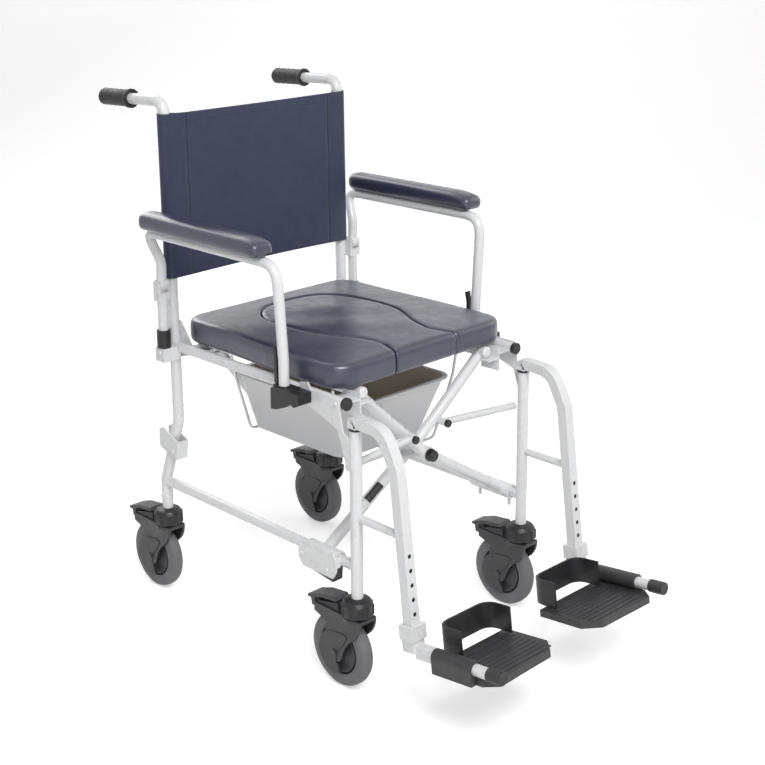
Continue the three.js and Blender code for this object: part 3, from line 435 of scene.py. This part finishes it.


# Each hole gets a closed near-black plug through the tube's depth: painted shade, not a part of the chair.
for side, sign in SIDES:
    x = sign * HALF_WIDTH
    points, quads = [], []
    for hole in range(HOLES):
        height = HOLE_TOP - HOLE_PITCH * hole
        ring = np.linspace(0, 2 * math.pi, 16, endpoint=False)
        rounds = [np.column_stack([
            x + HOLE_RADIUS * np.cos(ring),
            *np.array([leg_point(depth, height + HOLE_RADIUS * s) for s in np.sin(ring)]).T,
        ]) for depth in (-HOLE_DEPTH, HOLE_DEPTH)]
        start = sum(len(p) for p in points)
        points += rounds
        index = np.arange(32).reshape(2, 16) + start
        quads += np.stack([index[0], np.roll(index[0], -1), np.roll(index[1], -1), index[1]], -1).tolist()
        quads += [index[0].tolist(), index[1].tolist()]
    make("leg_holes_" + side, np.concatenate(points), quads, dark, "hanger_" + side[0])

grit = Finish("footplate_plastic", specular_ior_level=0.45)
grit.put(grit.shader.inputs["Base Color"],
         grit.mix(grit.noise(60, 4), (0.026, 0.026, 0.028), (0.05, 0.05, 0.053)))
grit.put(grit.shader.inputs["Roughness"], grit.noise(150, 3).ramp(0.3, 0.7, 0.38, 0.52))
grit.relief(grit.noise(700, 3), 0.0003, 0.8)
strap = moulded("heel_loop_plastic", (0.018, 0.018, 0.02), 0.4, 500, 0.0001)
ridged = Finish("ridged_rubber", base_color=(0.02, 0.02, 0.021), roughness=0.5)
ridged.relief((ridged.place("y") * (2 * math.pi / 0.0035)).wave(), 0.0006, 0.8)
for side, _ in SIDES:
    smoothed("footplate_" + side, grit.material, ease=0.0011)
    smoothed("heel_loop_" + side, strap, ease=0.0008)
    smoothed("foot_tube_cap_" + side, ridged.material, ease=0.0008)


# ---- Pan and wires -------------------------------------------------------------------------------
# A thin moulded pan, milky white outside and beige inside, that rests on two bent steel wire loops
# hung from the seat tubes.
milky = Finish("pan_outside", specular_ior_level=0.5, transmission_weight=0.0)
# Painted light and shade: the outside's colour runs from grey at its bottom to lighter near the rim.
milky.put(milky.shader.inputs["Base Color"],
          milky.mix(milky.place("z").ramp(0.34, 0.445), (0.60, 0.605, 0.62), (0.73, 0.73, 0.735)))
milky.put(milky.shader.inputs["Roughness"], milky.noise(25, 2).ramp(0.3, 0.7, 0.3, 0.4))
milky.relief(milky.noise(160, 2), 0.0002, 0.3)
beige = Finish("pan_inside", specular_ior_level=0.4)
beige.put(beige.shader.inputs["Base Color"],
          beige.mix(beige.noise(14, 3), (0.74, 0.65, 0.51), (0.82, 0.73, 0.58)))
beige.put(beige.shader.inputs["Roughness"], beige.noise(40, 2).ramp(0.3, 0.7, 0.4, 0.5))
pan = smoothed("pan", milky.material, crease=40, ease=0.0006)
pan.data.materials.append(beige.material)
low, high = (np.array(corner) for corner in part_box("pan"))
faces = len(pan.data.polygons)
centres, normals = np.zeros(faces * 3, np.float32), np.zeros(faces * 3, np.float32)
pan.data.polygons.foreach_get("center", centres)
pan.data.polygons.foreach_get("normal", normals)
centres, normals = centres.reshape(-1, 3), normals.reshape(-1, 3)
inward = ((low + high) / 2 - centres) * (1, 1, 0)
inside = (((inward * normals).sum(1) > 0.02) | (normals[:, 2] > 0.9)) & (centres[:, 2] < high[2] - 0.0032)
pan.data.polygons.foreach_set("material_index", inside.astype(np.int32))

steel = Finish("bent_wire", base_color=(0.55, 0.55, 0.57), metallic=0.85)
steel.put(steel.shader.inputs["Roughness"], steel.noise(200, 3).ramp(0.3, 0.7, 0.25, 0.4))
steel.relief(steel.noise(900, 2), 0.0001, 0.4)
for place in ("front", "rear"):
    smoothed("cradle_" + place, steel.material, crease=50)


# ---- Seat pad and infill -------------------------------------------------------------------------
# A thick moulded foam seat with a grained navy skin, softly rounded at its edges and a little
# crowned; its keyhole opening is filled by a lift-out infill of the same foam.
def navy_skin(name, deep, light, rough):
    """Coated navy cloth with a fine pebble grain: cells of about 1.2 mm, softened by noise."""
    skin = Finish(name, specular_ior_level=0.62, coat_weight=0.6, coat_roughness=0.3)
    skin.put(skin.shader.inputs["Base Color"], skin.mix(skin.noise(18, 4), deep, light))
    skin.put(skin.shader.inputs["Roughness"], skin.noise(55, 3).ramp(0.3, 0.7, rough - 0.05, rough + 0.08))
    grain = skin.cells(760, "SMOOTH_F1") * 0.7 + skin.noise(1500, 2) * 0.3
    skin.relief(grain + skin.noise(45, 3) * 1.5, 0.00035, 0.55)
    return skin.material


def remade(node, voxel, passes):
    """A fine even skin over a frame node: a voxel remesh, then corner rounding by averaging each
    point with its neighbours, passes times."""
    mesh = bpy.data.meshes.new(node + "_skin")
    work = bmesh.new()
    work.from_mesh(frame["nodes"][node].data)
    bmesh.ops.remove_doubles(work, verts=work.verts, dist=2e-6)
    work.to_mesh(mesh)
    work.free()
    piece = bpy.data.objects.new(node + "_skin", mesh)
    scene.collection.objects.link(piece)
    net = piece.modifiers.new("net", "REMESH")
    net.mode = "VOXEL"
    net.voxel_size = voxel
    net.use_smooth_shade = True
    even = piece.modifiers.new("even", "SMOOTH")
    even.factor = 0.5
    even.iterations = passes
    settled = bpy.data.meshes.new_from_object(piece.evaluated_get(bpy.context.evaluated_depsgraph_get()))
    piece.modifiers.clear()
    piece.data = settled
    return piece


def read_points(mesh):
    points = np.zeros(len(mesh.vertices) * 3, np.float32)
    mesh.vertices.foreach_get("co", points)
    return points.reshape(-1, 3)


def write_points(mesh, points):
    mesh.vertices.foreach_set("co", np.ascontiguousarray(points, np.float32).ravel())
    mesh.update()


def dress(piece, node, material, body):
    """Gives a remade pad its material and its body, and hides the node it stands for."""
    piece.data.materials.clear()
    piece.data.materials.append(material)
    piece.data.shade_smooth()
    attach(piece, body)
    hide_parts(node)


seat_skin = navy_skin("seat_skin", (0.017, 0.021, 0.050), (0.026, 0.031, 0.064), 0.33)
low, high = (np.array(corner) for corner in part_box("seat_pad"))
middle, half = (low + high) / 2, (high - low) / 2
for node, body in (("seat_pad", "seat"), ("seat_infill", "infill")):
    piece = remade(node, 0.003, 12)
    points = read_points(piece.data)
    across = (points[:, 0] - middle[0]) / half[0]
    along = (points[:, 1] - middle[1]) / half[1]
    height = np.clip((points[:, 2] - low[2]) / (high[2] - low[2]), 0, 1)
    crown = 0.0035 * (1 - across ** 2) * (1 - along ** 2)
    dimple = 0.0012 * np.sin(9 * across + 2 * along) * np.sin(7 * along - 1.5 * across)
    points[:, 0] += 0.006 * across ** 5 * np.clip((0.35 - along) / 0.5, 0, 1)
    points[:, 2] += height ** 2 * (crown + dimple * (1 - across ** 2) * (1 - along ** 2))
    write_points(piece.data, points)
    dress(piece, node, seat_skin, body)
    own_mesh(piece)


# ---- Armrests ------------------------------------------------------------------------------------
# Flip-up armrests: a bent white tube on a knuckle at the rear post, under a rounded moulded pad in
# the same navy skin as the seat.
for side, _ in SIDES:
    smoothed("arm_frame_" + side, white, ease=0.0005)
    node = "arm_pad_" + side
    piece = remade(node, 0.0025, 16)
    low, high = (np.array(corner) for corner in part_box(node))
    points = read_points(piece.data)
    along = (points[:, 1] - low[1]) / (high[1] - low[1])
    across = (points[:, 0] - (low[0] + high[0]) / 2) / (high[0] - low[0]) * 2
    height = np.clip((points[:, 2] - low[2]) / (high[2] - low[2]), 0, 1)
    nose = np.clip(1 - along / 0.16, 0, 1) ** 2
    points[:, 2] += height * (0.003 * (1 - across ** 2) - 0.007 * nose)
    write_points(piece.data, points)
    dress(piece, node, seat_skin, "armrest_" + side[0])


# ---- Backrest ------------------------------------------------------------------------------------
# A stretched sling of coated navy nylon, sewn into a pocket round each rear upright with two rows
# of stitching, hemmed at its top and bottom. The pockets stay with their uprights when the frame
# folds, and the panel between their seams rides on the left frame.
SLING_RADIUS = 0.0116
SLING_LAP = 0.036
SLING_ROWS = 90
SLING_LOW = 0.620
SLING_HEIGHT = 0.291
SLING_WALL = 0.0018
SEAM_COLUMN = 29            # columns of the grid from an outer edge to a seam
SLING_SEAM_X = HALF_WIDTH * (1 - 18 / 96)


def sling_surface():
    """The sling as a grid: across it runs a path that starts behind one upright, goes round its
    outside, straight over the front to the other upright, round it and back; up it runs the height.
    The front sags a little toward the middle and ripples near the pockets. Rows, columns, x y z."""
    rear_low, rear_high = (0.466 + 6 * (z - 0.352) / 580 for z in (SLING_LOW, SLING_LOW + SLING_HEIGHT))
    arc = np.linspace(0, math.pi, 13)
    lap = np.linspace(SLING_LAP, 0, 8, endpoint=False)
    front = np.linspace(-1, 1, 97)[1:-1]
    path_x = np.concatenate([-HALF_WIDTH + lap, -HALF_WIDTH - SLING_RADIUS * np.sin(arc), HALF_WIDTH * front,
                             HALF_WIDTH + SLING_RADIUS * np.sin(arc), HALF_WIDTH - lap[::-1]])
    tuck = 2 * SLING_RADIUS - 0.0021
    rear_lap = SLING_RADIUS - tuck * (1 - np.cos(np.pi * np.clip(lap / 0.026, 0, 1))) / 2
    path_y = np.concatenate([rear_lap, SLING_RADIUS * np.cos(arc), np.full(95, -SLING_RADIUS),
                             -SLING_RADIUS * np.cos(arc), rear_lap[::-1]])
    u, v = np.meshgrid(np.arange(len(path_x)), np.linspace(0, 1, SLING_ROWS), indexing="xy")
    z = SLING_LOW + SLING_HEIGHT * v
    y = path_y[u] + rear_low + (rear_high - rear_low) * v + SHIFT_Y
    x = path_x[u]
    face = np.clip(1 - (np.abs(x) / 0.193) ** 6, 0, 1) * (path_y[u] < -SLING_RADIUS * 0.99)
    span = x / HALF_WIDTH
    sag = 0.0045 * (1 - span ** 2)
    ripple = 0.0007 * np.sin(16 * v + 3 * span) * np.exp(-((np.abs(span) - 0.82) / 0.1) ** 2)
    pull = 0.0009 * np.sin(2.2 * span + 5 * v)
    y = y + face * (sag + ripple + pull)
    z = z + (v - 0.5) * -0.003 * (1 - span ** 2)
    return np.stack([x, y, z], -1)


nylon = Finish("sling_nylon", specular_ior_level=0.4, sheen_weight=0.08, sheen_roughness=0.5)
nylon_x, nylon_z = nylon.place("x"), nylon.place("z")
seam = ((nylon_x.size() - SLING_SEAM_X).size()).ramp(0.0006, 0.0016, 1.0, 0.0)
second = ((nylon_x.size() - 0.1725).size()).ramp(0.0005, 0.0013, 0.7, 0.0)
hem = ((nylon_z - 0.7635).size() - 0.1295).size().ramp(0.0004, 0.0011, 0.6, 0.0)
cloth = nylon.mix(nylon.noise(12, 4), (0.019, 0.026, 0.060), (0.029, 0.037, 0.078))
nylon.put(nylon.shader.inputs["Base Color"],
          nylon.mix(seam * 0.75 + second * 0.4 + hem * 0.3, cloth, (0.008, 0.010, 0.02)))
nylon.put(nylon.shader.inputs["Roughness"], nylon.noise(70, 3).ramp(0.3, 0.7, 0.5, 0.62))
weave = (nylon_x * (2 * math.pi / 0.0011)).wave() * (nylon_z * (2 * math.pi / 0.0011)).wave()
nylon.relief(weave * 0.12 - seam * 2.2 - second * 1.2 - hem * 1.2 + nylon.noise(28, 3) * 1.2, 0.0006, 0.8)


def sling_piece(name, grid, body):
    """One part of the sling from its grid of points, 1.8 mm thick, riding on body."""
    index = np.arange(grid.shape[0] * grid.shape[1]).reshape(grid.shape[:2])
    quads = np.stack([index[:-1, :-1], index[:-1, 1:], index[1:, 1:], index[1:, :-1]], -1).reshape(-1, 4)
    mesh = bpy.data.meshes.new(name)
    mesh.from_pydata(grid.reshape(-1, 3).tolist(), [], quads.tolist())
    mesh.materials.append(nylon.material)
    mesh.shade_smooth()
    piece = bpy.data.objects.new(name, mesh)
    scene.collection.objects.link(piece)
    wall = piece.modifiers.new("wall", "SOLIDIFY")
    wall.thickness = SLING_WALL
    wall.offset = 0
    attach(piece, body)
    return piece


surface = sling_surface()
columns = surface.shape[1]
sling = sling_piece("sling", surface[:, SEAM_COLUMN:columns - SEAM_COLUMN], "frame_l")
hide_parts("backrest")
for side, sign in SIDES:
    strip = surface[:, :SEAM_COLUMN + 1] if sign < 0 else surface[:, columns - SEAM_COLUMN - 1:]
    pocket = sling_piece("sling_pocket_" + side, strip, "frame_" + side[0])
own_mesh(sling)


# ---- Floor and light -----------------------------------------------------------------------------
# A seamless white sweep of card under and behind the chair, lit softly by one large window-like
# lamp high on the left front, a broad fill on the right, a weak low one from the left front that
# reaches under the seat, and one from behind. The sky looks white but lights the chair only a little.
def card_sweep():
    """A floor that curves up into a wall: height is a quarter circle of radius 1.2 m from 3.2 m back."""
    along, across = np.meshgrid(np.linspace(0, 1, 40), np.linspace(-9, 9, 3), indexing="ij")
    turn = np.clip((along - 0.4) / 0.3, 0, 1) * math.pi / 2
    run = np.clip(along / 0.4, 0, 1) * 9 - 6 + 1.2 * np.sin(turn)
    height = 1.2 * (1 - np.cos(turn)) + np.clip((along - 0.7) / 0.3, 0, 1) * 7
    angle = math.radians(43.6)
    points = np.stack([across * math.cos(angle) + run * math.sin(angle),
                       -across * math.sin(angle) + run * math.cos(angle), height], -1).reshape(-1, 3)
    rows, columns = along.shape
    index = np.arange(rows * columns).reshape(rows, columns)
    quads = np.stack([index[:-1, :-1], index[1:, :-1], index[1:, 1:], index[:-1, 1:]], -1).reshape(-1, 4)
    mesh = bpy.data.meshes.new("card")
    mesh.from_pydata(points.tolist(), [], quads.tolist())
    mesh.shade_smooth()
    return mesh


card = bpy.data.objects.new("card", card_sweep())
scene.collection.objects.link(card)
paper = Finish("card_paper", base_color=(0.86, 0.86, 0.86), roughness=0.9)
sight = paper.add("ShaderNodeLightPath", {}, out="Is Camera Ray")
mirror = paper.add("ShaderNodeLightPath", {}, out="Is Glossy Ray")
through = paper.add("ShaderNodeLightPath", {}, out="Is Transmission Ray")
paper.put(paper.shader.inputs["Emission Color"], (1.0, 1.0, 1.0))
paper.put(paper.shader.inputs["Emission Strength"], sight * 0.46 + mirror * 0.45 + through * 0.45)
card.data.materials.append(paper.material)

sky = bpy.data.worlds.new("room")
scene.world = sky
sky.use_nodes = True
backdrop = sky.node_tree.nodes["Background"]
backdrop.inputs["Color"].default_value = (1.0, 1.0, 1.0, 1.0)
SKY_LIGHT, SKY_SHOWN = 0.27, 0.95    # strength as light on the chair, and as seen or mirrored
rays = sky.node_tree.nodes.new("ShaderNodeLightPath")
shown = rays.outputs["Is Camera Ray"]
for ray in ("Is Transmission Ray", "Is Glossy Ray"):
    either = sky.node_tree.nodes.new("ShaderNodeMath")
    either.operation = "ADD"
    sky.node_tree.links.new(shown, either.inputs[0])
    sky.node_tree.links.new(rays.outputs[ray], either.inputs[1])
    shown = either.outputs[0]
brighter = sky.node_tree.nodes.new("ShaderNodeMapRange")
brighter.inputs["To Min"].default_value = SKY_LIGHT
brighter.inputs["To Max"].default_value = SKY_SHOWN
sky.node_tree.links.new(shown, brighter.inputs["Value"])
sky.node_tree.links.new(brighter.outputs["Result"], backdrop.inputs["Strength"])


def lamp(name, spot, aim, width, power):
    """A square area lamp of the given width at spot, turned toward aim."""
    light = bpy.data.lights.new(name, "AREA")
    light.size = width
    light.energy = power
    holder = bpy.data.objects.new(name, light)
    back = np.array(spot, float) - np.array(aim, float)
    back /= np.linalg.norm(back)
    right = np.cross((0, 0, 1), back)
    right /= np.linalg.norm(right)
    turn = np.identity(4)
    turn[:3, 0], turn[:3, 1], turn[:3, 2], turn[:3, 3] = right, np.cross(back, right), back, spot
    holder.matrix_world = Matrix(turn.tolist())
    scene.collection.objects.link(holder)


lamp("window", (-1.2, -2.2, 3.0), (0, 0, 0.5), 1.5, 88)
lamp("fill", (2.8, -1.0, 1.8), (0, 0, 0.5), 2.0, 16)
lamp("low", (-2.2, -2.6, 0.9), (0, 0, 0.4), 1.2, 10)
lamp("behind", (0.4, 2.8, 2.4), (0, 0, 0.6), 2.0, 40)
scene.view_settings.view_transform = "Standard"
